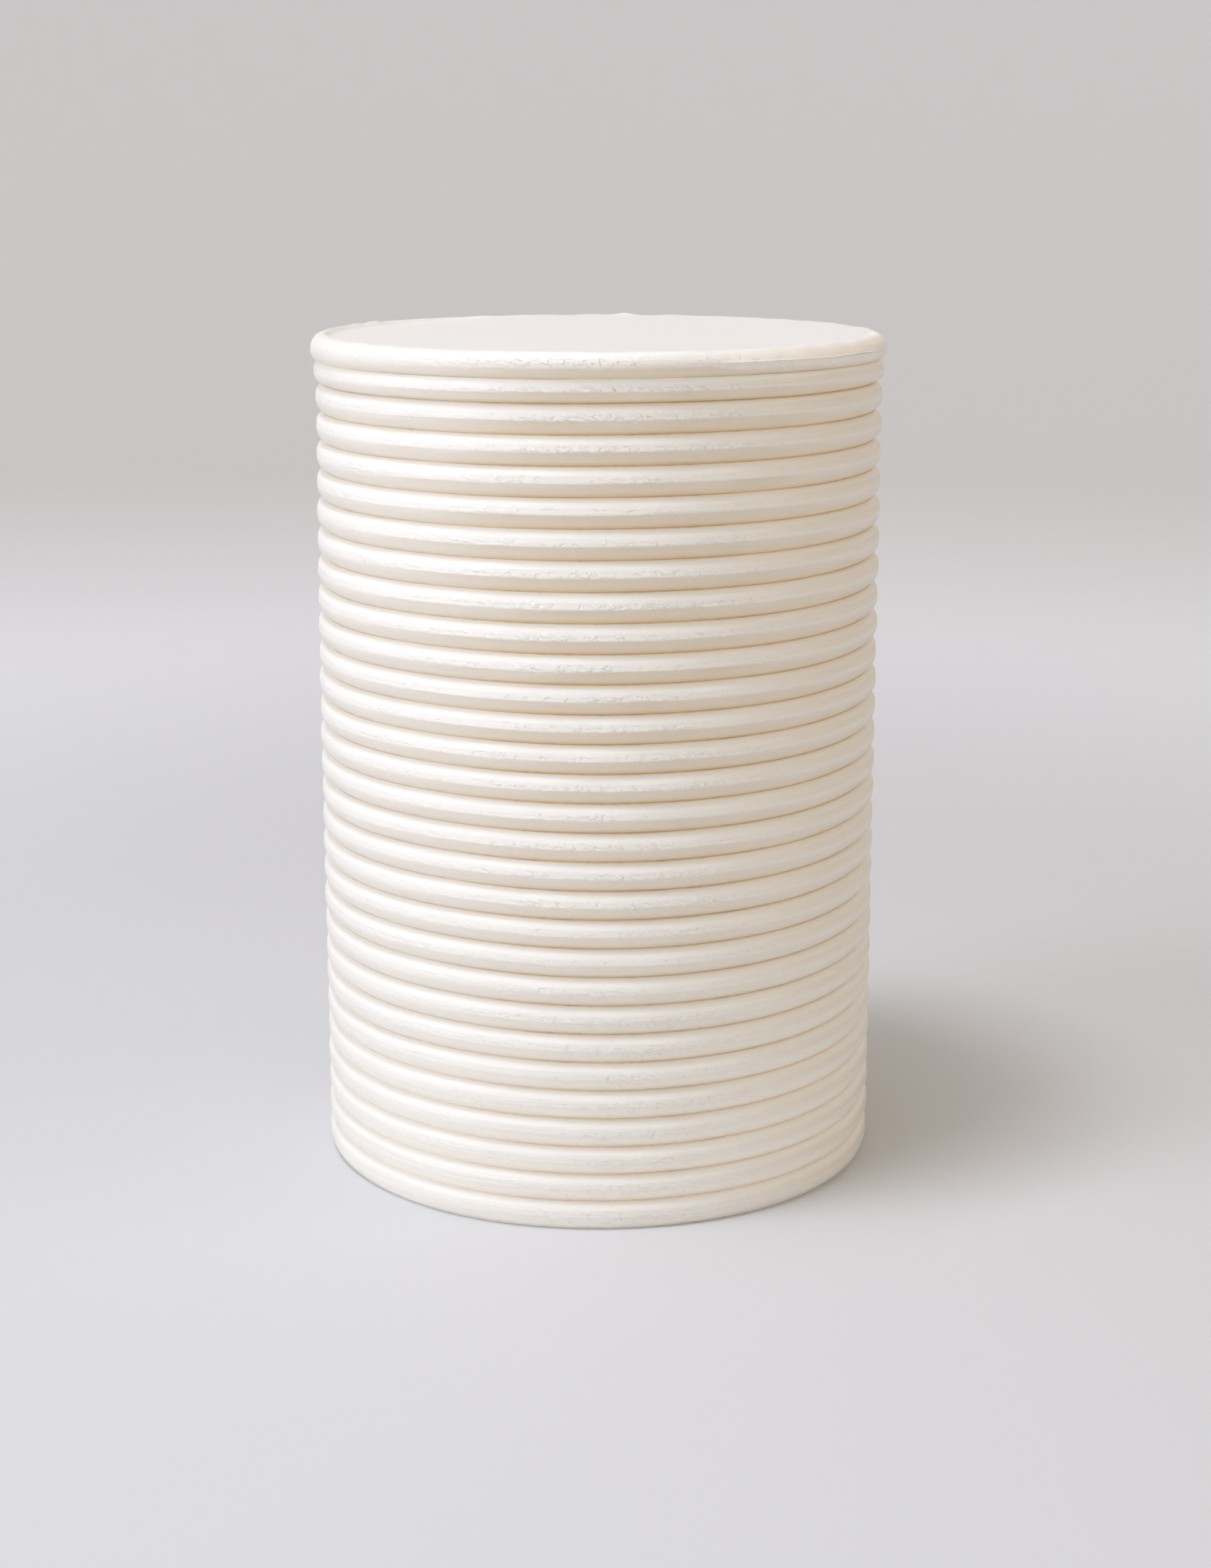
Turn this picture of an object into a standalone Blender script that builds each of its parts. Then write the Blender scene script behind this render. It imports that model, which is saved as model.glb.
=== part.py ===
"""Tall round layer cake, uncut, combed all round with level ridges of white buttercream.

The cake stands on z = 0 with its axis on Z and its front towards -Y. All lengths are in metres.
The wall is a stack of ridges, each separated from the next by a sharp groove, and the flat top
lies a millimetre inside a thin raised rim.
"""

import math

import bpy

CAKE_RADIUS = 0.0730
RIM_HEIGHT = 0.2158
RIM_RADIUS = 0.0702
TOP_SINK = 0.0010
TOP_RADIUS = 0.0686

RIDGE_COUNT = 30
RIDGE_STEPS = 5
GROOVE_DEPTH = 0.0022
GROOVE_SHARPNESS = 2.3
FOOT_RADIUS = 0.0716

SHOULDER_RIDGE_RADIUS = 0.0738
SHOULDER_RIDGE_HEIGHT = 0.2122
SHOULDER_GROOVE_HEIGHT = 0.2094
SHOULDER_GROOVE_RADIUS = 0.0720
SHOULDER_STEPS = 4

THIN_RIDGE_RADIUS = 0.0733
THIN_RIDGE_GROOVE_HEIGHT = 0.2036
THIN_RIDGE_GROOVE_RADIUS = 0.0706

TALL_RIDGE = 6.0
TALL_RIDGE_EXTRA = 0.036
TALL_RIDGE_REACH = 2.5

SIDES = 36
UNEVENNESS = 0.0006
UNEVENNESS_SIZE = 0.030

ICING_COLOR = (0.87, 0.83, 0.77, 1.0)
ICING_ROUGHNESS = 0.45


def clear_scene():
    """Removes the objects that a new Blender file starts with."""
    for thing in list(bpy.data.objects):
        bpy.data.objects.remove(thing, do_unlink=True)


def wall_groove_heights():
    """Heights of the grooves under the thin ridge, top to bottom, ending at the foot.

    The ridges are all of one height, apart from a few near the top that the comb left
    a little taller.
    """
    ridges = RIDGE_COUNT - 2
    weights = []
    for ridge in range(ridges):
        offset = (ridge + 1 - TALL_RIDGE) / TALL_RIDGE_REACH
        weights.append(1 + TALL_RIDGE_EXTRA * math.exp(-offset * offset))
    unit = THIN_RIDGE_GROOVE_HEIGHT / sum(weights)
    heights = [THIN_RIDGE_GROOVE_HEIGHT]
    for weight in weights:
        heights.append(heights[-1] - unit * weight)
    heights[-1] = 0.0
    return heights


def ridge_section(high, low, crest_radius, high_radius, low_radius):
    """Points down one ridge, from just under its upper groove to its lower groove."""
    points = []
    for step in range(1, RIDGE_STEPS + 1):
        along = 2 * step / RIDGE_STEPS - 1
        groove_radius = high_radius if along < 0 else low_radius
        depth = crest_radius - groove_radius
        radius = crest_radius - depth * abs(along) ** GROOVE_SHARPNESS
        height = high + (low - high) * (along + 1) / 2
        points.append((radius, height))
    return points


def shoulder_section():
    """Points from the rim over the rounded shoulder and down to the first groove."""
    reach = SHOULDER_RIDGE_RADIUS - RIM_RADIUS
    drop = RIM_HEIGHT - SHOULDER_RIDGE_HEIGHT
    points = []
    for step in range(SHOULDER_STEPS + 1):
        angle = math.radians(90 * step / SHOULDER_STEPS)
        radius = RIM_RADIUS + reach * math.sin(angle)
        height = SHOULDER_RIDGE_HEIGHT + drop * math.cos(angle)
        points.append((radius, height))
    middle = (SHOULDER_RIDGE_HEIGHT + SHOULDER_GROOVE_HEIGHT) / 2
    points.append((SHOULDER_RIDGE_RADIUS - 0.2 * GROOVE_DEPTH, middle))
    points.append((SHOULDER_GROOVE_RADIUS, SHOULDER_GROOVE_HEIGHT))
    return points


def cake_section():
    """The whole outline from the middle of the top, down the wall, to the middle of the base."""
    points = [(0.0, RIM_HEIGHT - TOP_SINK), (TOP_RADIUS, RIM_HEIGHT - TOP_SINK)]
    points += shoulder_section()
    points += ridge_section(
        SHOULDER_GROOVE_HEIGHT,
        THIN_RIDGE_GROOVE_HEIGHT,
        THIN_RIDGE_RADIUS,
        SHOULDER_GROOVE_RADIUS,
        THIN_RIDGE_GROOVE_RADIUS,
    )
    heights = wall_groove_heights()
    radii = [CAKE_RADIUS - GROOVE_DEPTH] * len(heights)
    radii[0] = THIN_RIDGE_GROOVE_RADIUS
    radii[-1] = FOOT_RADIUS
    for ridge in range(len(heights) - 1):
        points += ridge_section(
            heights[ridge], heights[ridge + 1], CAKE_RADIUS, radii[ridge], radii[ridge + 1]
        )
    points.append((0.0, 0.0))
    return points


def icing_material():
    """Warm white buttercream with a soft sheen."""
    material = bpy.data.materials.new("buttercream")
    material.use_nodes = True
    shader = material.node_tree.nodes["Principled BSDF"]
    shader.inputs["Base Color"].default_value = ICING_COLOR
    shader.inputs["Roughness"].default_value = ICING_ROUGHNESS
    shader.inputs["Metallic"].default_value = 0.0
    return material


def add_cake(collection):
    """Turns the outline about Z and makes the wall a little uneven, as icing is."""
    points = cake_section()
    mesh = bpy.data.meshes.new("cake")
    vertices = [(radius, 0.0, height) for radius, height in points]
    edges = [(index, index + 1) for index in range(len(points) - 1)]
    mesh.from_pydata(vertices, edges, [])
    mesh.materials.append(icing_material())

    cake = bpy.data.objects.new("cake", mesh)
    collection.objects.link(cake)

    wall = cake.vertex_groups.new(name="wall")
    wall.add([i for i, (radius, height) in enumerate(points) if radius > 0 and height > 0], 1.0, "REPLACE")

    screw = cake.modifiers.new("turn", "SCREW")
    screw.axis = "Z"
    screw.steps = SIDES
    screw.render_steps = SIDES
    screw.use_merge_vertices = True
    screw.merge_threshold = 0.00005
    screw.use_smooth_shade = True

    clouds = bpy.data.textures.new("hand of the icing", "CLOUDS")
    clouds.noise_scale = UNEVENNESS_SIZE
    clouds.noise_depth = 0
    uneven = cake.modifiers.new("uneven", "DISPLACE")
    uneven.texture = clouds
    uneven.texture_coords = "LOCAL"
    uneven.strength = UNEVENNESS
    uneven.vertex_group = wall.name
    return cake


def main():
    clear_scene()
    collection = bpy.data.collections.new("layer_cake")
    bpy.context.scene.collection.children.link(collection)
    add_cake(collection)


main()
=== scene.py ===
"""Studio picture of a tall layer cake, uncut, iced in white buttercream.

The icing is one closed skin. A comb has drawn its wall into level, rounded ridges, and a
palette knife has smoothed its top, which lies a little inside a thin, slightly ragged rim.
All lengths are in metres. The cake stands on z = 0 with its front towards -Y, and an
azimuth is counted from the front, positive towards the right as the camera sees it.
"""

import logging
import math
from dataclasses import dataclass, field
from enum import Enum
from typing import Any, Iterator

import bpy
import numpy as np
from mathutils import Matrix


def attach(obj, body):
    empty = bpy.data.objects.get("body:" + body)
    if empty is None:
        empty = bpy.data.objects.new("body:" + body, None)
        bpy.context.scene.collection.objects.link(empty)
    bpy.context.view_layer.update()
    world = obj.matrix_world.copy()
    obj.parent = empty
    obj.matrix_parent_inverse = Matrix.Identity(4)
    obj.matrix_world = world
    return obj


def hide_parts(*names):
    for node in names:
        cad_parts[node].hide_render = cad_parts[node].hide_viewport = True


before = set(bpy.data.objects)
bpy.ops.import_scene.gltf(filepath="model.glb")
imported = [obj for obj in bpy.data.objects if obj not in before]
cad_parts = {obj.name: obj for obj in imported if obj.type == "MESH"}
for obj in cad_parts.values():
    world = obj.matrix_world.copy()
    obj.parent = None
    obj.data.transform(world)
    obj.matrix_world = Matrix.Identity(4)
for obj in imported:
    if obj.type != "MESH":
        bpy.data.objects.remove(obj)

LOG = logging.getLogger("layer_cake")

IMAGE_WIDTH = 1545
IMAGE_HEIGHT = 2000
FRONT = -math.pi / 2

Span = tuple[float, float]
Point = tuple[float, float, float]
Color = tuple[float, float, float, float]


def turned(azimuth: np.ndarray | float) -> np.ndarray | float:
    """Turns an azimuth from the front, in degrees, into an angle about +Z, in radians."""
    return FRONT + np.radians(azimuth)


def angle_gap(angle: np.ndarray, centre: float) -> np.ndarray:
    """Gives the signed way round from one angle to others.

    Args:
        angle: Angles about +Z, in radians.
        centre: The angle that the gap is counted from.

    Returns:
        Gaps from -pi to pi, in radians.
    """
    return (angle - centre + math.pi) % (2 * math.pi) - math.pi


def bell(distance: np.ndarray, width: float) -> np.ndarray:
    """Gives a smooth hump, 1 in its middle and about 0.37 at its width."""
    return np.exp(-((distance / width) ** 2))


def step_up(value: np.ndarray | float, low: float, high: float) -> np.ndarray:
    """Rises smoothly from 0 at low to 1 at high."""
    share = np.clip((value - low) / (high - low), 0.0, 1.0)
    return share * share * (3.0 - 2.0 * share)


class Held(Enum):
    """Numbers that the mesh holds at its points for the icing's material."""

    ALONG = "along"
    LEVEL = "level"
    SOFT = "soft"


@dataclass(frozen=True)
class Ripple:
    """A smooth uneven field round the cake, which meets itself after a full turn.

    Attributes:
        seed: Seed of the random draw.
        swing: Typical height of the field, in its own unit.
        waves: Fewest and most waves in one turn.
        tall: Shortest length of a wave up the wall, in metres.
        terms: How many waves are summed.
    """

    seed: int
    swing: float
    waves: tuple[int, int]
    tall: float = 0.05
    terms: int = 9

    def at(self, angle: np.ndarray, height: np.ndarray | float = 0.0, own: int = 0) -> np.ndarray:
        """Reads the field.

        Args:
            angle: Angles about +Z, in radians.
            height: Heights above the base, in metres.
            own: A ridge's own number, added to the seed.

        Returns:
            The field's values, of the shape that angle and height share.
        """
        draw = np.random.default_rng(self.seed + own)
        total = np.zeros(np.broadcast(angle, height).shape)
        for _ in range(self.terms):
            turns = draw.integers(self.waves[0], self.waves[1] + 1)
            rise = draw.uniform(-1.0, 1.0) * 2 * math.pi / self.tall
            phase = draw.uniform(0.0, 2 * math.pi)
            total = total + np.cos(turns * angle + rise * height + phase)
        return self.swing * total / math.sqrt(self.terms / 2)


@dataclass(frozen=True)
class Lump:
    """One small lump on the rim.

    Attributes:
        azimuth: Place round the cake, in degrees from the front.
        lift: How far it stands proud.
        across: Half its width round the cake.
    """

    azimuth: float
    lift: float
    across: float

    def at(self, angle: np.ndarray, radius: float) -> np.ndarray:
        """Gives how far the lump lifts each point of a ring with a radius."""
        aside = angle_gap(angle, turned(self.azimuth)) * radius
        return self.lift * bell(aside, self.across)


@dataclass
class Rings:
    """Collects level rings of points, top to bottom, and skins them into one closed mesh.

    Attributes:
        points: The rings' points.
        alongs: Places of each ring's points across their ridge, -1 at its upper groove to 1
            at its lower one.
        levels: How much each ring's points belong to the level top, 0 to 1.
        softs: How softly the ridge turns under at each ring's points, about 0 to 1.
        creased: Indices of the rings whose edges stay sharp.
    """

    points: list[np.ndarray] = field(default_factory=list)
    alongs: list[np.ndarray] = field(default_factory=list)
    levels: list[np.ndarray] = field(default_factory=list)
    softs: list[np.ndarray] = field(default_factory=list)
    creased: list[int] = field(default_factory=list)

    def add(
        self,
        angle: np.ndarray,
        radius: np.ndarray | float,
        height: np.ndarray | float,
        along: np.ndarray | float = 0.0,
        level: float = 0.0,
        soft: np.ndarray | float = 0.0,
        crease: bool = False,
    ) -> None:
        """Adds the next ring down.

        Args:
            angle: Angle of each point about +Z.
            radius: Distance of each point from the axis.
            height: Height of each point.
            along: Their places across the ridge, -1 at its upper groove to 1 at its lower one.
            level: How much they belong to the level top, 0 to 1.
            soft: How softly the ridge turns under at each of them.
            crease: Whether the ring is a sharp line.
        """
        ones = np.ones_like(angle)
        if crease:
            self.creased.append(len(self.points))
        places = [radius * np.cos(angle), radius * np.sin(angle), height * ones]
        self.points.append(np.stack(places, axis=1))
        self.alongs.append(along * ones)
        self.levels.append(level * ones)
        self.softs.append(soft * ones)

    def faces(self) -> Iterator[np.ndarray]:
        """Skins the rings.

        Yields:
            The faces between each ring and the next, as rows of point indices.
        """
        start = 0
        for upper, lower in zip(self.points, self.points[1:]):
            below = start + len(upper)
            if len(upper) >= len(lower):
                yield from self.strip(start, len(upper), below, len(lower), False)
            else:
                yield from self.strip(below, len(lower), start, len(upper), True)
            start = below

    @staticmethod
    def strip(
        fine: int, fine_count: int, coarse: int, coarse_count: int, flip: bool
    ) -> Iterator[np.ndarray]:
        """Skins the strip between two rings, of which one may have fewer points.

        Args:
            fine: Index of the first point of the ring with more points.
            fine_count: Its number of points.
            coarse: Index of the first point of the other ring.
            coarse_count: Its number of points, which divides the first.
            flip: True if the ring with more points is the lower one.

        Yields:
            Arrays of faces, one face a row.
        """
        order = slice(None, None, -1) if flip else slice(None)
        near = np.arange(fine_count)
        far = (near + 1) % fine_count
        if coarse_count == fine_count:
            faces = np.stack([fine + near, coarse + near, coarse + far, fine + far], axis=1)
            yield faces[:, order]
            return
        share = fine_count // coarse_count
        late = near % share >= (share + 1) // 2
        apex = (near // share + late) % coarse_count if coarse_count > 1 else np.zeros_like(near)
        fans = np.stack([fine + near, coarse + apex, fine + far], axis=1)
        yield fans[:, order]
        if coarse_count > 1:
            cell = np.arange(coarse_count)
            middle = cell * share + (share + 1) // 2
            after = (cell + 1) % coarse_count
            wedge = np.stack([fine + middle % fine_count, coarse + cell, coarse + after], axis=1)
            yield wedge[:, order]

    def to_object(self, name: str) -> bpy.types.Object:
        """Makes the mesh object.

        Args:
            name: The object's name.

        Returns:
            The new object, linked to the scene and shaded smooth with sharp grooves.
        """
        mesh = bpy.data.meshes.new(name)
        corners = np.concatenate(self.points)
        faces = [face for block in self.faces() for face in block.tolist()]
        mesh.from_pydata(corners.tolist(), [], faces)
        held = {Held.ALONG: self.alongs, Held.LEVEL: self.levels, Held.SOFT: self.softs}
        for label, values in held.items():
            layer = mesh.attributes.new(label.value, "FLOAT", "POINT")
            layer.data.foreach_set("value", np.concatenate(values).astype(np.float32))
        mesh.shade_smooth()
        ring_of = np.repeat(np.arange(len(self.points)), [len(ring) for ring in self.points])
        ends = np.empty(len(mesh.edges) * 2, dtype=np.int32)
        mesh.edges.foreach_get("vertices", ends)
        ends = ring_of[ends.reshape(-1, 2)]
        sharp = (ends[:, 0] == ends[:, 1]) & np.isin(ends[:, 0], self.creased)
        layer = mesh.attributes.new("sharp_edge", "BOOLEAN", "EDGE")
        layer.data.foreach_set("value", sharp)
        mesh.update()
        piece = bpy.data.objects.new(name, mesh)
        bpy.context.scene.collection.objects.link(piece)
        return piece


@dataclass(frozen=True)
class Ridge:
    """One ridge that a tooth of the comb has left.

    Attributes:
        high: Height of the groove above it.
        low: Height of the groove below it.
        crest: Radius of its crest.
        high_radius: Radius of the groove above it.
        low_radius: Radius of the groove below it.
        seed: Seed of its own unevenness.
    """

    high: float
    low: float
    crest: float
    high_radius: float
    low_radius: float
    seed: int

    @property
    def half(self) -> float:
        """Half the ridge's height."""
        return (self.high - self.low) / 2


@dataclass(frozen=True)
class Sag:
    """A stretch of the wall where the comb rode a little low.

    Attributes:
        azimuth: Middle of the stretch, in degrees from the front.
        reach: Half its width, in degrees.
        drop: How far the ridges dip there.
        rising: Heights between which the dip grows from nothing to all of it.
    """

    azimuth: float
    reach: float
    drop: float
    rising: Span

    def at(self, angle: np.ndarray, height: float) -> np.ndarray:
        """Gives how far down the ring at a height dips at each angle."""
        dip = self.drop * bell(angle_gap(angle, turned(self.azimuth)), math.radians(self.reach))
        return dip * step_up(height, *self.rising)


@dataclass(frozen=True)
class Wall:
    """The combed wall and how uneven the hand and the comb left it."""

    # The grooves are shallower below a height, most of all at the foot.
    radius: float = 0.0730
    groove_depth: float = 0.0023
    shallow_share: float = 0.22
    shallow_height: float = 0.06
    foot_radius: float = 0.0716

    # The ridges are of one height, but those around the sixth are a little taller.
    ridges: int = 28
    first_seed: int = 100
    tall_ridge: float = 6.0
    tall_ridge_extra: float = 0.036
    tall_ridge_reach: float = 2.5

    # A ridge's rows lie between -1 at its upper groove and 1 at its lower one.
    columns: int = 168
    rows: tuple[float, ...] = (
        -0.93, -0.84, -0.72, -0.56, -0.39, -0.22, -0.08, 0.02, 0.07, 0.12, 0.26, 0.45, 0.66, 0.85, 1.0
    )

    # Two faces leave the edge of a ridge, at slopes in degrees, and bend into the grooves.
    edge_place: float = 0.07
    upper_slope: float = 8.0
    lower_slope: float = 23.0
    slope_limit: float = 0.8
    upper_bend: float = 4.2
    lower_bend: float = 5.0
    soft_upper_bend: float = 4.6
    soft_lower_bend: float = 2.4

    # The edges are softer at the sides, from the first azimuth to the second, and lower down.
    round_azimuths: Span = (24.0, 62.0)
    round_share: float = 0.68
    round_low: float = 0.6
    round_heights: Span = (0.0, 0.17)

    # The whole wall bulges and leans, and each ridge wanders by itself.
    bulge: Ripple = Ripple(11, 0.00012, (1, 5), 0.16)
    lean: Ripple = Ripple(12, 0.00010, (2, 7), 0.30)
    wander: Ripple = Ripple(0, 0.00006, (4, 21))
    edge_wander: Ripple = Ripple(500, 0.00003, (3, 12), terms=8)
    softness: Ripple = Ripple(900, 0.16, (2, 16))
    sags: tuple[Sag, ...] = (
        Sag(5.0, 42.0, 0.00055, (-0.020, -0.010)),
        Sag(-50.0, 42.0, 0.00070, (0.060, 0.190)),
    )

    # The foot stays level and is coloured like a ridge's middle. One ring lies in the base.
    foot_still: Span = (0.002, 0.020)
    foot_place: float = 0.12
    base_radius: float = 0.04296
    base_thinning: int = 3

    def sway(self, angle: np.ndarray, height: float) -> np.ndarray:
        """Gives how far the comb rode up or down.

        Args:
            angle: Angles of the columns.
            height: Level height that the comb was meant to hold.

        Returns:
            The rise at each column.
        """
        lean = self.lean.at(angle, height) - sum(sag.at(angle, height) for sag in self.sags)
        return lean * step_up(height, *self.foot_still)

    def crispness(self, angle: np.ndarray, height: float) -> np.ndarray:
        """Gives how crisp the ridges' soft edges are.

        Args:
            angle: Angles of the columns.
            height: Height of the ridge.

        Returns:
            1 at the top of the front, and less at the sides and towards the foot.
        """
        aside = np.degrees(np.abs(angle_gap(angle, FRONT)))
        held = 1 - self.round_share * step_up(aside, *self.round_azimuths)
        return held * (1 - self.round_low * (1 - step_up(height, *self.round_heights)))

    def fall(self, along: float, half: float, depth: float, crisp: np.ndarray) -> np.ndarray:
        """Gives how far a ridge has fallen back from its edge towards a groove.

        A ridge has a soft edge a little below its middle. Its faces leave the edge at their
        slopes and bend ever more towards the grooves.

        Args:
            along: Place across the ridge, from -1 at its upper groove to 1 at its lower one.
            half: Half the ridge's height.
            depth: Depth of the groove on that side.
            crisp: How crisp the edge is at each column.

        Returns:
            The fall at each column, measured towards the axis.
        """
        lower = along > self.edge_place
        slope = np.tan(np.radians((self.lower_slope if lower else self.upper_slope) * crisp))
        bend = self.lower_bend if lower else self.upper_bend
        soft_bend = self.soft_lower_bend if lower else self.soft_upper_bend
        power = soft_bend + (bend - soft_bend) * crisp
        away = abs(along - self.edge_place) * half
        reach = abs((1 if lower else -1) - self.edge_place) * half
        straight = np.minimum(slope, self.slope_limit * depth / reach)
        return straight * away + (depth - straight * reach) * (away / reach) ** power

    def groove_heights(self, top: float) -> list[float]:
        """Works out the heights of the grooves from the topmost down to the foot.

        Args:
            top: Height of the groove above the first ridge.

        Returns:
            One height more than there are ridges, ending with 0.
        """
        number = np.arange(1, self.ridges + 1)
        weights = 1 + self.tall_ridge_extra * bell(number - self.tall_ridge, self.tall_ridge_reach)
        passed = np.cumsum([0.0, *weights]) / sum(weights)
        return [float(top * (1 - share)) for share in passed]

    def all_ridges(self, top: float, top_radius: float) -> list[Ridge]:
        """Lists the wall's ridges, top to bottom.

        Args:
            top: Height of the groove above the first ridge.
            top_radius: Radius of that groove.

        Returns:
            The ridges.
        """
        heights = self.groove_heights(top)
        shallow = self.shallow_share * (1 - step_up(np.array(heights), 0.0, self.shallow_height))
        radii = (self.radius - self.groove_depth * (1 - shallow)).tolist()
        radii[0] = top_radius
        radii[-1] = self.foot_radius
        return [
            Ridge(heights[i], heights[i + 1], self.radius, radii[i], radii[i + 1], self.first_seed + i)
            for i in range(self.ridges)
        ]

    def draw(self, rings: Rings, ridge: Ridge, angle: np.ndarray) -> None:
        """Adds a ridge's rings, from just under its upper groove to its lower groove.

        Args:
            rings: Where the rings go.
            ridge: The ridge.
            angle: Angles of the columns.
        """
        wander = self.wander.at(angle, own=ridge.seed)
        edge_wander = self.edge_wander.at(angle, own=ridge.seed)
        crisp = self.crispness(angle, ridge.low) * (1 + self.softness.at(angle, own=ridge.seed))
        lowest = ridge.low <= 0.0
        for along in self.rows:
            last = along == self.rows[-1]
            groove = ridge.high_radius if along < 0 else ridge.low_radius
            level = ridge.high - ridge.half * (along + 1)
            free = 1 - along * along
            radius = ridge.crest - self.fall(along, ridge.half, ridge.crest - groove, crisp)
            radius = radius + free * wander + self.bulge.at(angle, level)
            height = level + self.sway(angle, level) + free * edge_wander
            rings.add(
                angle,
                radius,
                level if lowest and last else height,
                along=min(along, along * self.foot_place) if lowest else along,
                soft=1 - crisp,
                crease=last,
            )


@dataclass(frozen=True)
class Crown:
    """The smoothed top, its thin rim, the shoulder ridge and the thin ridge under it."""

    # The rim leans towards the back, where it is higher.
    rim_height: float = 0.2158
    rim_radius: float = 0.0702
    rim_tilt: float = 0.0011
    lumps: tuple[Lump, ...] = (
        Lump(80.0, 0.0009, 0.0019),
        Lump(-113.0, 0.00028, 0.0014),
        Lump(-120.0, 0.00038, 0.0020),
        Lump(174.0, 0.00035, 0.0024),
    )
    ragged: Ripple = Ripple(21, 0.00006, (6, 44), terms=12)
    edge: Ripple = Ripple(22, 0.00016, (6, 46), terms=12)

    # The top lies under the rim, but comes up to it around an azimuth.
    top_radius: float = 0.0684
    top_sink: float = 0.0011
    level_azimuth: float = 130.0
    level_share: float = 0.95
    level_span: Span = (-0.2, 0.5)
    level_bend: float = 4.0

    # Each ring of the top has a radius and takes one of so many of the rim's columns.
    columns: int = 504
    top_rings: tuple[tuple[float, int], ...] = (
        (0.0, 504), (0.012, 9), (0.026, 9), (0.040, 3), (0.052, 3), (0.061, 3), (0.0655, 1)
    )

    # The rim's inner side runs outwards and up, both as shares.
    inner_rows: tuple[Span, ...] = ((0.0, 0.0), (0.35, 0.10), (0.62, 0.45), (0.82, 0.85))

    # The shoulder rounds over from the rim and turns under into the first groove.
    shoulder_radius: float = 0.0738
    shoulder_height: float = 0.2122
    shoulder_groove: float = 0.2094
    shoulder_groove_radius: float = 0.0720
    shoulder_rows: int = 24
    shoulder_bend: float = 0.9
    under_rows: int = 7
    under_curve: float = 3.5
    under_bend: float = 1.7
    under_place: float = 0.8
    smooth_place: float = -0.8
    sway_share: float = 0.45

    # The thin ridge under the shoulder.
    thin_radius: float = 0.0733
    thin_groove: float = 0.2036
    thin_groove_radius: float = 0.0706
    thin_seed: int = 99

    # Between two azimuths the knife has cut the shoulder flatter, down to a climbing line.
    cut_azimuths: Span = (20.0, 72.0)
    cut_ends: Span = (0.72, 1.0)
    cut_height: float = 0.21215
    cut_climb: float = 0.00020
    cut_bend: float = 0.85
    cut_flat: float = 0.55
    cut_under_bend: float = 4.0
    cut_wander: Ripple = Ripple(23, 0.00008, (20, 70), terms=10)

    # A thin lip stands proud along that line, most of all at a small tongue.
    lip_proud: float = 0.00026
    lip_width: float = 0.045
    lip_rise: float = 0.8
    tongue_azimuth: float = 60.0
    tongue_half: float = 0.07
    tongue_proud: float = 0.00050

    def tilt(self, angle: np.ndarray) -> np.ndarray:
        """Gives how much higher or lower the rim's lean puts it at each angle."""
        return -self.rim_tilt * np.cos(angle - FRONT)

    def rim_lift(self, angle: np.ndarray) -> np.ndarray:
        """Gives how much higher or lower than level the rim stands at each angle."""
        lumps = sum(lump.at(angle, self.rim_radius) for lump in self.lumps)
        return self.tilt(angle) + self.ragged.at(angle) + lumps

    def sink(self, angle: np.ndarray, share: float) -> np.ndarray:
        """Gives how far the top lies below the rim.

        Args:
            angle: Angles of the columns.
            share: Distance from the axis, as a share of the rim's.

        Returns:
            The depths, which run out towards the far right of the rim.
        """
        level = step_up(np.cos(angle - turned(self.level_azimuth)), *self.level_span)
        return self.top_sink * (1 - self.level_share * level * share**self.level_bend)

    def draw_top(self, rings: Rings) -> None:
        """Adds the top's rings from its middle out to the foot of the rim.

        Args:
            rings: Where the rings go.
        """
        for radius, thinning in self.top_rings:
            angle = np.linspace(0, 2 * math.pi, self.columns // thinning, endpoint=False)
            share = radius / self.rim_radius
            height = self.rim_height - self.sink(angle, share) + share * self.tilt(angle)
            rings.add(angle, radius, height, along=self.smooth_place, level=1.0)

    def draw_rim(self, rings: Rings, angle: np.ndarray, wall: Wall) -> None:
        """Adds the rim's inner side and crest, and the rounded shoulder with its cut stretch.

        Args:
            rings: Where the rings go.
            angle: Angles of the columns.
            wall: The wall below, whose sway the shoulder follows.
        """
        sway = wall.sway(angle, self.shoulder_groove)
        soft = 1 - wall.crispness(angle, self.shoulder_groove)
        sink = self.sink(angle, self.top_radius / self.rim_radius)
        lift = self.rim_lift(angle)
        edge = self.edge.at(angle)
        for across, up in self.inner_rows:
            radius = self.top_radius + edge + (self.rim_radius - self.top_radius) * across
            height = self.rim_height - sink * (1 - up) + self.tilt(angle) * (1 - up) + lift * up
            rings.add(angle, radius, height, along=self.smooth_place, level=1 - up)
        cut = self.cut_share(angle)
        line = self.cut_height + self.cut_climb * self.cut_gap(angle) + self.cut_wander.at(angle)
        fall = self.rim_height - self.shoulder_height
        for row in range(self.shoulder_rows + 1):
            share = row / self.shoulder_rows
            quarter = math.pi / 2 * share
            reach = math.sin(quarter) ** self.shoulder_bend
            drop = 1 - math.cos(quarter)
            reach = reach + (share**self.cut_bend - reach) * cut
            drop = drop + (share * (self.rim_height - line) / fall - drop) * cut
            lip = self.lip(angle, share) * cut
            radius = self.rim_radius + edge * (1 - reach)
            radius = radius + (self.shoulder_radius - self.rim_radius) * reach + lip
            height = self.rim_height + lift * (1 - drop) - fall * drop
            height = height + sway * drop * self.sway_share + lip * self.lip_rise
            rings.add(angle, radius, height, along=self.smooth_place * (1 - share), soft=soft)

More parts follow.
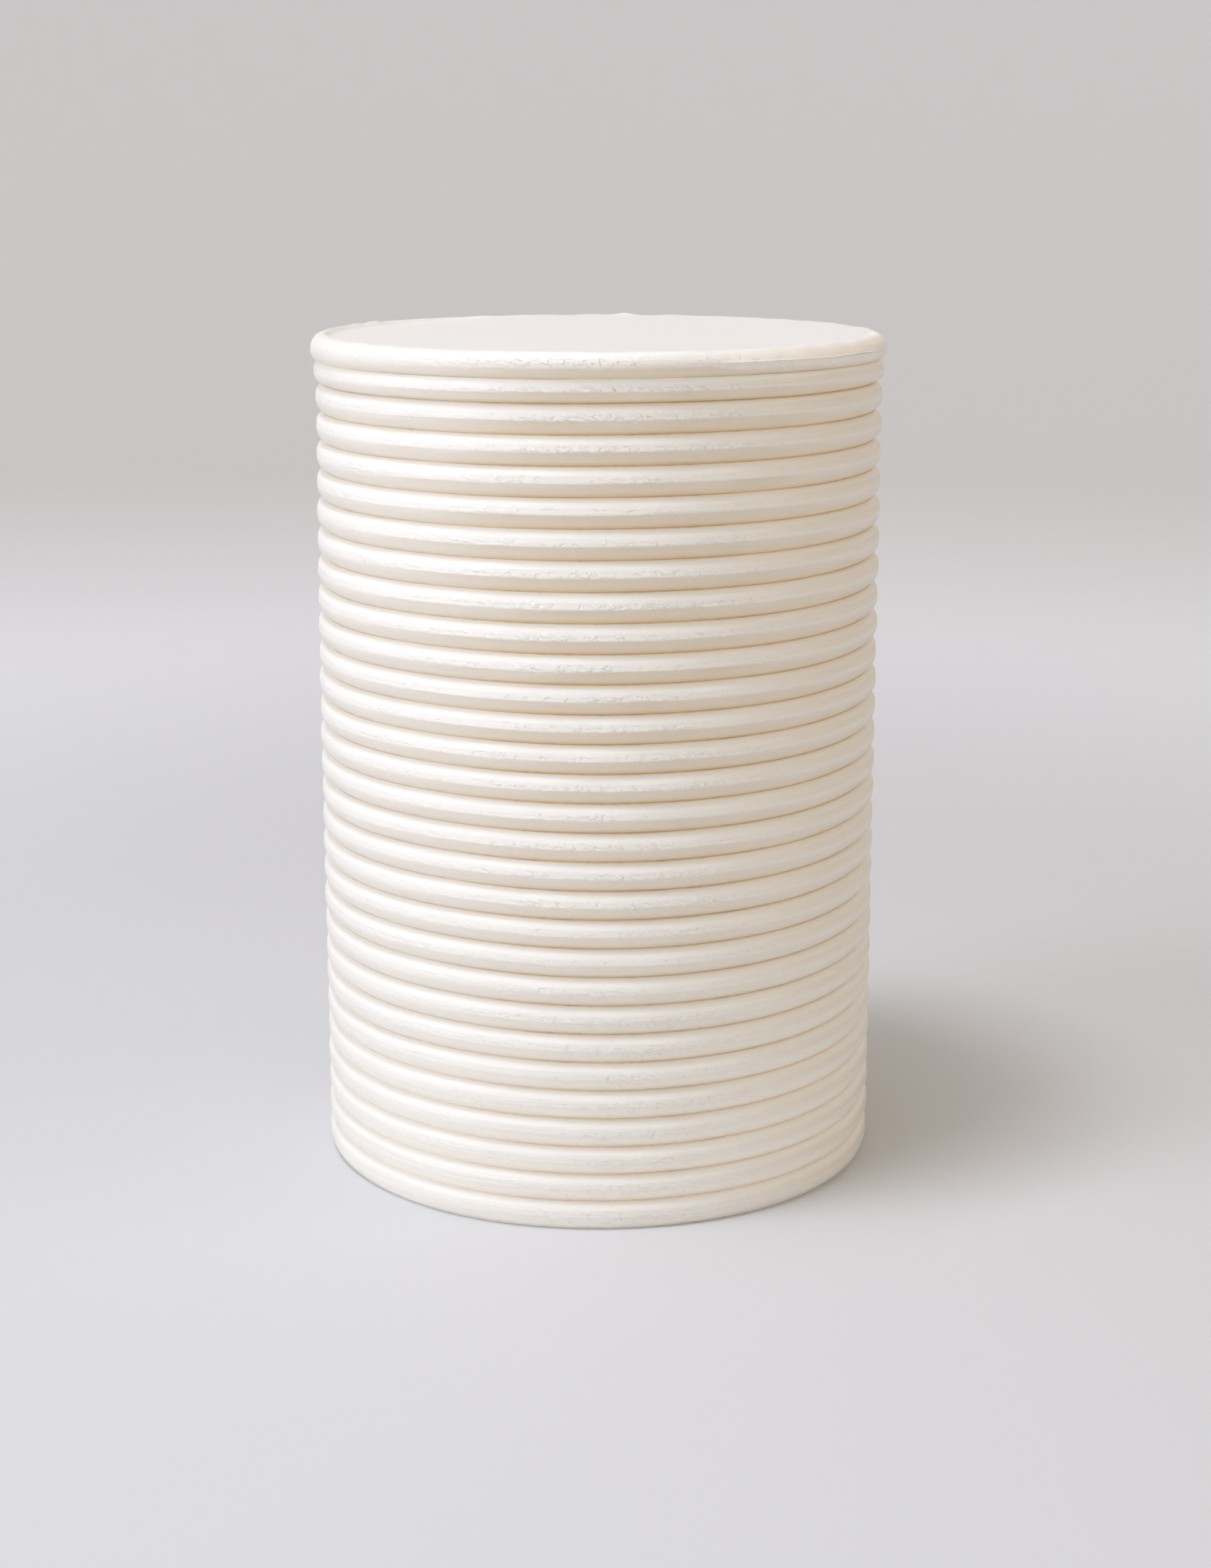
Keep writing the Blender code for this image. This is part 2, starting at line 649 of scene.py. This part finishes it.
    def draw_underside(self, rings: Rings, angle: np.ndarray, wall: Wall) -> None:
        """Adds the shoulder's underside, down to the first groove.

        Args:
            rings: Where the rings go.
            angle: Angles of the columns.
            wall: The wall below, whose sway the shoulder follows.
        """
        sway = wall.sway(angle, self.shoulder_groove)
        soft = 1 - wall.crispness(angle, self.shoulder_groove)
        bend = self.under_bend + self.cut_under_bend * self.cut_share(angle)
        depth = self.shoulder_radius - self.shoulder_groove_radius
        for row in range(1, self.under_rows + 1):
            share = row / self.under_rows
            radius = self.shoulder_radius - depth * share**self.under_curve
            height = self.shoulder_height + (self.shoulder_groove - self.shoulder_height) * share
            height = height + sway * (self.sway_share + (1 - self.sway_share) * share)
            place = self.under_place * share**bend
            rings.add(angle, radius, height, along=place, soft=soft, crease=row == self.under_rows)

    def cut_gap(self, angle: np.ndarray) -> np.ndarray:
        """Gives the place along the cut stretch of the shoulder, -1 at its left end to 1."""
        start, end = self.cut_azimuths
        return angle_gap(angle, turned((start + end) / 2)) / (math.radians(end - start) / 2)

    def cut_share(self, angle: np.ndarray) -> np.ndarray:
        """Gives how much of the shoulder's round the knife has cut away, as a share."""
        return self.cut_flat * (1 - step_up(np.abs(self.cut_gap(angle)), *self.cut_ends))

    def lip(self, angle: np.ndarray, share: float) -> np.ndarray:
        """Gives how proud the thin lip stands where the cut ends.

        Args:
            angle: Angles of the columns.
            share: Place down the shoulder, 0 at the rim to 1.

        Returns:
            How proud it stands at each column.
        """
        gap = angle_gap(angle, turned(self.tongue_azimuth))
        proud = self.lip_proud + self.tongue_proud * bell(gap, self.tongue_half)
        return proud * bell(1 - share, self.lip_width)

    def thin_ridge(self) -> Ridge:
        """Gives the thin ridge under the shoulder."""
        radii = (self.thin_radius, self.shoulder_groove_radius, self.thin_groove_radius)
        return Ridge(self.shoulder_groove, self.thin_groove, *radii, self.thin_seed)


@dataclass
class Icing:
    """The whole skin of buttercream, from the middle of the top to the middle of the base."""

    crown: Crown
    wall: Wall

    def build(self, finish: "Buttercream") -> None:
        """Builds and dresses the icing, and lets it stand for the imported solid.

        Args:
            finish: The buttercream.
        """
        rings = Rings()
        around = np.linspace(0, 2 * math.pi, self.crown.columns, endpoint=False)
        self.crown.draw_top(rings)
        self.crown.draw_rim(rings, around, self.wall)
        self.crown.draw_underside(rings, around, self.wall)
        self.wall.draw(rings, self.crown.thin_ridge(), around)
        around = np.linspace(0, 2 * math.pi, self.wall.columns, endpoint=False)
        for ridge in self.wall.all_ridges(self.crown.thin_groove, self.crown.thin_groove_radius):
            self.wall.draw(rings, ridge, around)
        rings.add(around[:: self.wall.base_thinning], self.wall.base_radius, 0.0)
        rings.add(np.zeros(1), 0.0, 0.0)
        piece = rings.to_object("icing")
        piece.data.materials.append(finish.material())
        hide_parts("cake")
        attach(piece, "root")
        LOG.info("icing: %d points, %d faces", len(piece.data.vertices), len(piece.data.polygons))


class Sock:
    """A node's output, on which Python's operators add Math nodes."""

    def __init__(self, shade: "Shade", socket: bpy.types.NodeSocket) -> None:
        """Wraps a socket of a material."""
        self.shade = shade
        self.socket = socket

    def math(self, operation: str, *others: Any) -> "Sock":
        """Adds a Math node that starts with this value.

        Args:
            operation: The Math node's operation.
            others: Its other inputs, numbers or sockets.

        Returns:
            The node's output.
        """
        values = dict(enumerate((self, *others)))
        return self.shade.node("ShaderNodeMath", {"operation": operation}, values)

    def __add__(self, other: Any) -> "Sock":
        """Adds."""
        return self.math("ADD", other)

    __radd__ = __add__

    def __mul__(self, other: Any) -> "Sock":
        """Multiplies."""
        return self.math("MULTIPLY", other)

    __rmul__ = __mul__

    def __sub__(self, other: Any) -> "Sock":
        """Subtracts a value from this one."""
        return self.math("SUBTRACT", other)

    def __rsub__(self, other: Any) -> "Sock":
        """Subtracts this value from another."""
        return self.shade.node("ShaderNodeMath", {"operation": "SUBTRACT"}, {0: other, 1: self})

    def __pow__(self, other: Any) -> "Sock":
        """Raises this value to a power."""
        return self.math("POWER", other)

    def between(self, low: float, high: float) -> "Sock":
        """Rises smoothly from 0 at low to 1 at high."""
        values = {"Value": self, "From Min": low, "From Max": high}
        return self.shade.node("ShaderNodeMapRange", {"interpolation_type": "SMOOTHSTEP"}, values)

    def hump(self, up: Span, down: Span) -> "Sock":
        """Rises from 0 to 1 over one span and falls back to 0 over a later one."""
        return self.between(*up) * (1.0 - self.between(*down))


class Shade:
    """The node tree of one material."""

    def __init__(self, name: str) -> None:
        """Starts a material with a Principled shader.

        Args:
            name: The material's name.
        """
        self.material = bpy.data.materials.new(name)
        self.material.use_nodes = True
        self.tree = self.material.node_tree
        self.shader = self.tree.nodes["Principled BSDF"]

    def node(
        self,
        kind: str,
        settings: dict[str, Any] | None = None,
        values: dict[Any, Any] | None = None,
        out: Any = 0,
    ) -> Sock:
        """Adds a node.

        Args:
            kind: The node's type.
            settings: Its settings, which are made first.
            values: Values or links of its sockets, by name or number.
            out: The output that is given back, by name or number.

        Returns:
            That output.
        """
        made = self.tree.nodes.new(kind)
        for key, value in (settings or {}).items():
            setattr(made, key, value)
        for key, value in (values or {}).items():
            self.feed(made.inputs[key], value)
        return Sock(self, made.outputs[out])

    def feed(self, socket: bpy.types.NodeSocket, value: Any) -> None:
        """Links a socket to another, or sets its value.

        Args:
            socket: The socket that is fed.
            value: A wrapped socket, a number or a colour.
        """
        if isinstance(value, Sock):
            self.tree.links.new(value.socket, socket)
        else:
            socket.default_value = value

    def set(self, **values: Any) -> None:
        """Feeds the Principled shader's sockets, whose names are given with _ for a space."""
        for name, value in values.items():
            self.feed(self.shader.inputs[name.replace("_", " ")], value)

    def place(self, stretch: Point = (1.0, 1.0, 1.0), slant: float = 0.0) -> Sock:
        """Gives the object's own coordinates.

        Args:
            stretch: How much they are stretched along X, Y and Z.
            slant: How much of the sideways place is added to the height.

        Returns:
            The coordinates.
        """
        values = {0: self.node("ShaderNodeTexCoord", out="Object"), 1: stretch}
        place = self.node("ShaderNodeVectorMath", {"operation": "MULTIPLY"}, values)
        if not slant:
            return place
        across, inwards, height = self.parts(place)
        values = {0: across, 1: inwards, 2: height + across * slant}
        return self.node("ShaderNodeCombineXYZ", values=values)

    def parts(self, place: Sock) -> list[Sock]:
        """Splits coordinates into those along X, Y and Z."""
        split = self.node("ShaderNodeSeparateXYZ", values={0: place})
        return [Sock(self, output) for output in split.socket.node.outputs]

    def around(self) -> Sock:
        """Gives how far round from the front each point is, in degrees, positive to the right."""
        across, inwards, _ = self.parts(self.place())
        return across.math("ARCTAN2", 0.0 - inwards).math("DEGREES")

    def blend(self, share: Sock | float, first: Any, second: Any) -> Sock:
        """Mixes two colours.

        Args:
            share: How much of the second shows.
            first: A colour.
            second: Another.

        Returns:
            The mixed colour.
        """
        values = {0: share, 6: first, 7: second}
        return self.node("ShaderNodeMix", {"data_type": "RGBA"}, values, out=2)

    def attribute(self, held: Held) -> Sock:
        """Reads a number that the mesh holds at its points."""
        return self.node("ShaderNodeAttribute", {"attribute_name": held.value}, out="Fac")


@dataclass(frozen=True)
class Noise:
    """One kind of unevenness of a surface.

    Attributes:
        scale: How fine it is.
        detail: How many finer layers it has.
        rough: How strong each finer layer is.
        stretch: How much finer it is along X, Y and Z.
        slant: How much its marks slant, 0 for level ones.
    """

    scale: float
    detail: float = 2.0
    rough: float = 0.5
    stretch: Point = (1.0, 1.0, 1.0)
    slant: float = 0.0

    def on(self, shade: Shade) -> Sock:
        """Adds the noise to a material.

        Args:
            shade: The material.

        Returns:
            The noise, from 0 to 1.
        """
        place = shade.place(self.stretch, self.slant)
        values = {"Vector": place, "Scale": self.scale, "Detail": self.detail, "Roughness": self.rough}
        return shade.node("ShaderNodeTexNoise", values=values)


@dataclass(frozen=True)
class Fade:
    """How much less of a tint or a mark shows in each zone of the cake, from 0 to 1."""

    low: float = 0.0
    side: float = 0.0
    right: float = 0.0
    left: float = 0.0


@dataclass(frozen=True)
class Zones:
    """How far a point lies low on the wall, at its foot and round to its sides, from 0 to 1."""

    low: Sock
    foot: Sock
    side: Sock
    right: Sock
    left: Sock

    def fade(self, value: Sock, fade: Fade) -> Sock:
        """Weakens a value in the zones.

        Args:
            value: The value.
            fade: How much less of it shows in each zone.

        Returns:
            The weaker value.
        """
        zones = (self.low, self.side, self.right, self.left)
        shares = (fade.low, fade.side, fade.right, fade.left)
        for zone, share in zip(zones, shares):
            if share:
                value = value * (1.0 - zone * share)
        return value


@dataclass(frozen=True)
class Buttercream:
    """White buttercream, smoothed and combed."""

    # Painted shade and painted bounce light darken and warm the grooves and the faces that look down.
    color: Color = (0.90, 0.862, 0.80, 1.0)
    under_shade_color: Color = (0.745, 0.632, 0.480, 1.0)
    # Painted light: the upper faces just under the grooves are painted paler.
    ledge_light_color: Color = (0.985, 0.955, 0.90, 1.0)
    # Painted shade: on the right, the upper middle of each ridge is painted darker and warmer.
    slope_shade_color: Color = (0.865, 0.77, 0.645, 1.0)
    # Painted light: near the foot the lower halves of the ridges are painted paler, as light bounced
    # up from below.
    foot_light_color: Color = (0.985, 0.922, 0.825, 1.0)
    groove_shade_color: Color = (0.80, 0.57, 0.29, 1.0)
    side_groove_shade_color: Color = (1.0, 0.76, 0.43, 1.0)
    # Painted light: the level top is painted paler than the wall.
    top_light_color: Color = (0.94, 0.907, 0.86, 1.0)
    pale_color: Color = (0.93, 0.893, 0.828, 1.0)

    # Each colour's share where it is strongest.
    under_shade_share: float = 0.9
    ledge_light_share: float = 0.8
    slope_shade_share: float = 0.8
    foot_light_share: float = 0.8
    groove_shade_share: float = 0.74
    upper_groove_shade_share: float = 0.35
    top_light_share: float = 0.9
    pale_share: float = 0.06
    cloud_share: float = 0.25

    # Places across a ridge where a tint or the crumbly band starts and is full. They run from
    # -1 at the upper groove to 1, or back from 1 there for the ledge and the upper groove.
    under_rise: Span = (-0.06, 0.17)
    soft_under_rise: Span = (-0.20, 0.70)
    ledge_rise: Span = (0.25, 0.62)
    ledge_end: Span = (0.97, 1.0)
    slope_rise: Span = (-0.80, -0.50)
    slope_end: Span = (-0.25, 0.05)
    foot_rise: Span = (-0.05, 0.35)
    groove_rise: Span = (0.45, 1.0)
    groove_bend: float = 1.4
    upper_groove_rise: Span = (0.90, 1.0)
    crumb_rise: Span = (-0.60, -0.15)

    # Zones of the cake, by azimuths in degrees and by heights.
    side_azimuths: Span = (10.0, 56.0)
    left_azimuths: Span = (4.0, 34.0)
    back_azimuths: Span = (100.0, 160.0)
    low_heights: Span = (0.0, 0.14)
    foot_heights: Span = (0.010, 0.075)
    under_fade: Fade = Fade(low=0.82, side=0.2, left=0.35)
    ledge_fade: Fade = Fade(left=0.7)
    crumb_fade: Fade = Fade(low=0.35, right=0.8, left=0.5)
    groove_fade: Fade = Fade(low=0.3)
    groove_side_loss: float = 0.2
    groove_left_loss: float = 0.6
    groove_foot_loss: float = 0.2

    # The marks that the comb and the knife left, and where their noises show.
    drag: Noise = Noise(60.0, 4.0, 0.6, (0.5, 0.5, 22.0))
    knife: Noise = Noise(55.0, 3.0, 0.6, (1.0, 9.0, 1.0))
    tear: Noise = Noise(450.0, stretch=(1.0, 1.0, 2.1), slant=0.7)
    pit: Noise = Noise(620.0, 1.0, stretch=(1.0, 1.0, 1.4))
    grain: Noise = Noise(1900.0)
    cloud: Noise = Noise(45.0, 3.0)
    patch: Noise = Noise(38.0, stretch=(1.0, 1.0, 2.0))
    tear_rise: Span = (0.44, 0.62)
    patch_rise: Span = (0.36, 0.56)
    pit_rise: Span = (0.60, 0.72)
    edge_tear: float = 0.10

    # Depth of the relief in metres, and each mark's share of it.
    relief: float = 0.00050
    drag_relief: float = 0.48
    knife_relief: float = 0.8
    tear_relief: float = 0.44
    pit_relief: float = 0.32
    grain_relief: float = 0.07

    # The icing is a little rougher where it dragged or tore.
    roughness: float = 0.36
    drag_roughness: float = 0.14
    tear_roughness: float = 0.05
    refraction: float = 1.45

    def zones(self, shade: Shade) -> Zones:
        """Finds the zones of the cake.

        Args:
            shade: The material.

        Returns:
            The zones.
        """
        around = shade.around()
        aside = around.math("ABSOLUTE")
        rise = shade.parts(shade.place())[2]
        front = 1.0 - aside.between(*self.back_azimuths)
        return Zones(
            low=1.0 - rise.between(*self.low_heights),
            foot=1.0 - rise.between(*self.foot_heights),
            side=aside.between(*self.side_azimuths),
            right=around.between(*self.side_azimuths) * front,
            left=(0.0 - around).between(*self.left_azimuths) * front,
        )

    def tint(self, shade: Shade, zones: Zones, along: Sock, level: Sock, under: Sock) -> Sock:
        """Lays the colours over each other, painted shade and painted light among them.

        Args:
            shade: The material.
            zones: The zones of the cake.
            along: Place across the ridge.
            level: Whether the point is on the level top.
            under: How much its face looks down, where shade is painted.

        Returns:
            The icing's colour.
        """
        upper = 0.0 - along
        # Painted light on the upper face of each ridge, just under its groove, less on the left.
        ledge = upper.hump(self.ledge_rise, self.ledge_end) * (1.0 - level)
        # Painted shade on the upper middle of each ridge, on the right only.
        slope = along.hump(self.slope_rise, self.slope_end) * zones.right
        # Painted light from below on the lower halves of the ridges near the foot.
        foot = zones.foot * along.between(*self.foot_rise)
        # Painted shade in the grooves, paler and warmer at the sides, weaker on the left and low down.
        groove = along.between(*self.groove_rise) ** self.groove_bend
        groove = groove + upper.between(*self.upper_groove_rise) * self.upper_groove_shade_share
        left_loss = zones.left * (zones.foot * self.groove_foot_loss + self.groove_left_loss)
        groove = groove * (1.0 - zones.side * self.groove_side_loss - left_loss)
        groove_shade_tint = shade.blend(zones.side, self.groove_shade_color, self.side_groove_shade_color)
        cloud = (self.cloud.on(shade) - 0.5) * self.cloud_share
        layers = (
            (under * self.under_shade_share, self.under_shade_color),
            (zones.fade(ledge, self.ledge_fade) * self.ledge_light_share, self.ledge_light_color),
            (slope * self.slope_shade_share, self.slope_shade_color),
            (foot * self.foot_light_share, self.foot_light_color),
            (zones.fade(groove, self.groove_fade) * self.groove_shade_share, groove_shade_tint),
            # Painted light: the level top is paler than the wall.
            (level * self.top_light_share, self.top_light_color),
            (cloud + self.pale_share, self.pale_color),
        )
        tint = self.color
        for share, color in layers:
            tint = shade.blend(share, tint, color)
        return tint

    def material(self) -> bpy.types.Material:
        """Makes the material.

        Returns:
            Buttercream with painted shade in its grooves, fine drag lines and a crumbly band on each
            ridge.
        """
        shade = Shade("buttercream")
        zones = self.zones(shade)
        along = shade.attribute(Held.ALONG)
        level = shade.attribute(Held.LEVEL)
        soft = shade.attribute(Held.SOFT)
        drag = self.drag.on(shade)
        tear = self.tear.on(shade)
        turn = along + (tear - 0.5) * self.edge_tear
        # Painted shade: the faces below each ridge's edge, which look down, are painted darker and
        # warmer.
        under = turn.between(*self.under_rise) * (1.0 - soft)
        under = under + turn.between(*self.soft_under_rise) * soft
        under = zones.fade(under, self.under_fade)
        crumb = zones.fade(along.between(*self.crumb_rise) * (1.0 - under), self.crumb_fade)
        patch = self.patch.on(shade).between(*self.patch_rise)
        torn = tear.between(*self.tear_rise) * patch * crumb
        pitted = self.pit.on(shade).between(*self.pit_rise) * crumb
        height = drag * self.drag_relief * (1.0 - level)
        height = height + self.knife.on(shade) * self.knife_relief * level
        height = height + torn * self.tear_relief - pitted * self.pit_relief
        height = height + self.grain.on(shade) * self.grain_relief
        bump = {"Strength": 1.0, "Distance": self.relief, "Height": height}
        even = self.roughness - self.drag_roughness / 2
        shade.set(
            Base_Color=self.tint(shade, zones, along, level, under),
            Roughness=drag * self.drag_roughness + even + torn * self.tear_roughness,
            Normal=shade.node("ShaderNodeBump", values=bump, out="Normal"),
            IOR=self.refraction,
        )
        return shade.material


@dataclass(frozen=True)
class SweepPaint:
    """Matt paint of the sweep, which is paler and glows faintly further out."""

    near: Color = (0.703, 0.703, 0.712, 1.0)
    far: Color = (0.855, 0.880, 0.945, 1.0)
    near_glow: Color = (0.0, 0.0, 0.0, 1.0)
    far_glow: Color = (0.089, 0.078, 0.066, 1.0)
    rise: Span = (0.25, 0.9)
    roughness: float = 0.7

    def material(self) -> bpy.types.Material:
        """Makes the material.

        Returns:
            The paint, which changes with the distance from the cake's middle.
        """
        shade = Shade("pale_sweep")
        length = {"operation": "LENGTH"}
        reach = shade.node("ShaderNodeVectorMath", length, {0: shade.place()}, out="Value")
        out = reach.between(*self.rise)
        shade.set(
            Base_Color=shade.blend(out, self.near, self.far),
            Roughness=self.roughness,
            Emission_Color=shade.blend(out, self.near_glow, self.far_glow),
            Emission_Strength=1.0,
        )
        return shade.material


@dataclass(frozen=True)
class Softbox:
    """One soft light.

    Attributes:
        name: What it is called.
        azimuth: Where it hangs, in degrees from the front, positive to the right.
        elevation: How high it hangs, in degrees above the cake's middle.
        distance: How far away it hangs.
        size: Width and height.
        power: Its power, in watts.
        color: Its colour.
    """

    name: str
    azimuth: float
    elevation: float
    distance: float
    size: Span
    power: float
    color: Point

    def hang(self, target: Point) -> None:
        """Hangs the light and turns it to its target.

        Args:
            target: The point it shines at.
        """
        light = bpy.data.lights.new(self.name, "AREA")
        light.shape = "RECTANGLE"
        light.size, light.size_y = self.size
        light.energy = self.power
        light.color = self.color
        lamp = bpy.data.objects.new(self.name, light)
        turn = turned(self.azimuth)
        tilt = math.radians(self.elevation)
        lamp.location = (
            target[0] + self.distance * math.cos(tilt) * math.cos(turn),
            target[1] + self.distance * math.cos(tilt) * math.sin(turn),
            target[2] + self.distance * math.sin(tilt),
        )
        lamp.rotation_euler = (math.pi / 2 - tilt, 0.0, turn + math.pi / 2)
        bpy.context.scene.collection.objects.link(lamp)


@dataclass(frozen=True)
class Studio:
    """The sweep, the lights, the sky and the camera."""

    target: Point = (0.0, 0.0, 0.11)
    lights: tuple[Softbox, ...] = (
        Softbox("key", -55.0, 74.0, 1.5, (0.36, 0.36), 7.7, (0.85, 0.90, 1.0)),
        Softbox("top_key", -50.0, 84.0, 1.5, (0.50, 0.50), 3.3, (0.80, 0.84, 1.0)),
        Softbox("side_key", -65.0, 45.0, 1.5, (0.40, 0.40), 3.6, (0.79, 0.86, 1.0)),
        Softbox("window", -60.0, 14.0, 1.6, (1.4, 0.8), 5.8, (0.89, 0.92, 1.0)),
        Softbox("low_fill", -80.0, 8.0, 1.6, (1.0, 0.35), 1.7, (0.50, 0.68, 1.0)),
        Softbox("front_fill", -10.0, 0.0, 1.6, (1.2, 0.18), 2.05, (0.96, 1.0, 1.0)),
        Softbox("far_fill", 75.0, 45.0, 1.5, (0.5, 0.5), 1.1, (1.0, 0.96, 0.74)),
        Softbox("rim_fill", 85.0, 22.0, 1.5, (0.5, 0.5), 0.7, (1.0, 0.70, 0.30)),
    )
    sky: Color = (1.0, 0.898, 0.779, 1.0)
    sky_strength: float = 0.42

    # The floor's rings are shares of its radius, and the sweep curves up from the last.
    floor_radius: float = 1.7
    floor_rings: tuple[float, ...] = (0.05, 0.2, 0.5, 1.0)
    sweep_radius: float = 1.1
    sweep_steps: int = 20
    sweep_columns: int = 96

    # The lens and the picture's axis are counted in pixels of the full picture.
    camera_distance: float = 0.6637
    camera_height: float = 0.24966
    camera_pitch: float = 12.02
    sensor_width: float = 36.0
    focal_pixels: float = 3255.8
    axis_column: float = 763.55
    axis_row: float = 943.8

    def sweep_line(self) -> list[Span]:
        """Draws the sweep's section.

        Returns:
            Distances from the middle and heights.
        """
        line = [(share * self.floor_radius, 0.0) for share in self.floor_rings]
        for step in range(1, self.sweep_steps + 1):
            turn = math.pi / 2 * step / self.sweep_steps
            reach = self.floor_radius + self.sweep_radius * math.sin(turn)
            line.append((reach, self.sweep_radius * (1 - math.cos(turn))))
        return line

    def lay_sweep(self, paint: SweepPaint) -> None:
        """Lays the pale sweep, a round floor that curves up into a low wall.

        Args:
            paint: Its paint.
        """
        line = self.sweep_line()
        count = self.sweep_columns
        angle = np.linspace(0, 2 * math.pi, count, endpoint=False)
        corners = [(r * math.cos(a), r * math.sin(a), z) for r, z in line for a in angle]
        faces = [tuple(reversed(range(count)))]
        for ring in range(len(line) - 1):
            for column in range(count):
                near = ring * count + column
                far = ring * count + (column + 1) % count
                faces.append((near, far, far + count, near + count))
        mesh = bpy.data.meshes.new("sweep")
        mesh.from_pydata(corners, [], faces)
        mesh.shade_smooth()
        mesh.materials.append(paint.material())
        sweep = bpy.data.objects.new("sweep", mesh)
        bpy.context.scene.collection.objects.link(sweep)

    def light_sky(self) -> None:
        """Lights the room evenly."""
        world = bpy.data.worlds.new("studio")
        world.use_nodes = True
        sky = world.node_tree.nodes["Background"]
        sky.inputs["Color"].default_value = self.sky
        sky.inputs["Strength"].default_value = self.sky_strength
        bpy.context.scene.world = world

    def set_camera(self) -> None:
        """Sets the camera at the height, tilt and lens of the reference view."""
        lens = bpy.data.cameras.new("camera")
        lens.sensor_width = self.sensor_width
        lens.lens = self.focal_pixels / IMAGE_HEIGHT * self.sensor_width
        lens.shift_x = (IMAGE_WIDTH / 2 - self.axis_column) / IMAGE_HEIGHT
        lens.shift_y = (self.axis_row - IMAGE_HEIGHT / 2) / IMAGE_HEIGHT
        camera = bpy.data.objects.new("camera", lens)
        camera.location = (0.0, -self.camera_distance, self.camera_height)
        camera.rotation_euler = (math.radians(90 - self.camera_pitch), 0.0, 0.0)
        bpy.context.scene.collection.objects.link(camera)
        bpy.context.scene.camera = camera

    def build(self, paint: SweepPaint) -> None:
        """Builds the studio.

        Args:
            paint: The sweep's paint.
        """
        self.lay_sweep(paint)
        self.light_sky()
        for light in self.lights:
            light.hang(self.target)
        self.set_camera()
        bpy.context.scene.view_settings.view_transform = "Standard"
        LOG.info("studio: %d lights", len(self.lights))


def main() -> None:
    """Builds the icing and the studio."""
    logging.basicConfig(level=logging.INFO, format="%(name)s: %(message)s")
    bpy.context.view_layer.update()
    Icing(Crown(), Wall()).build(Buttercream())
    Studio().build(SweepPaint())


if __name__ == "__main__":
    main()
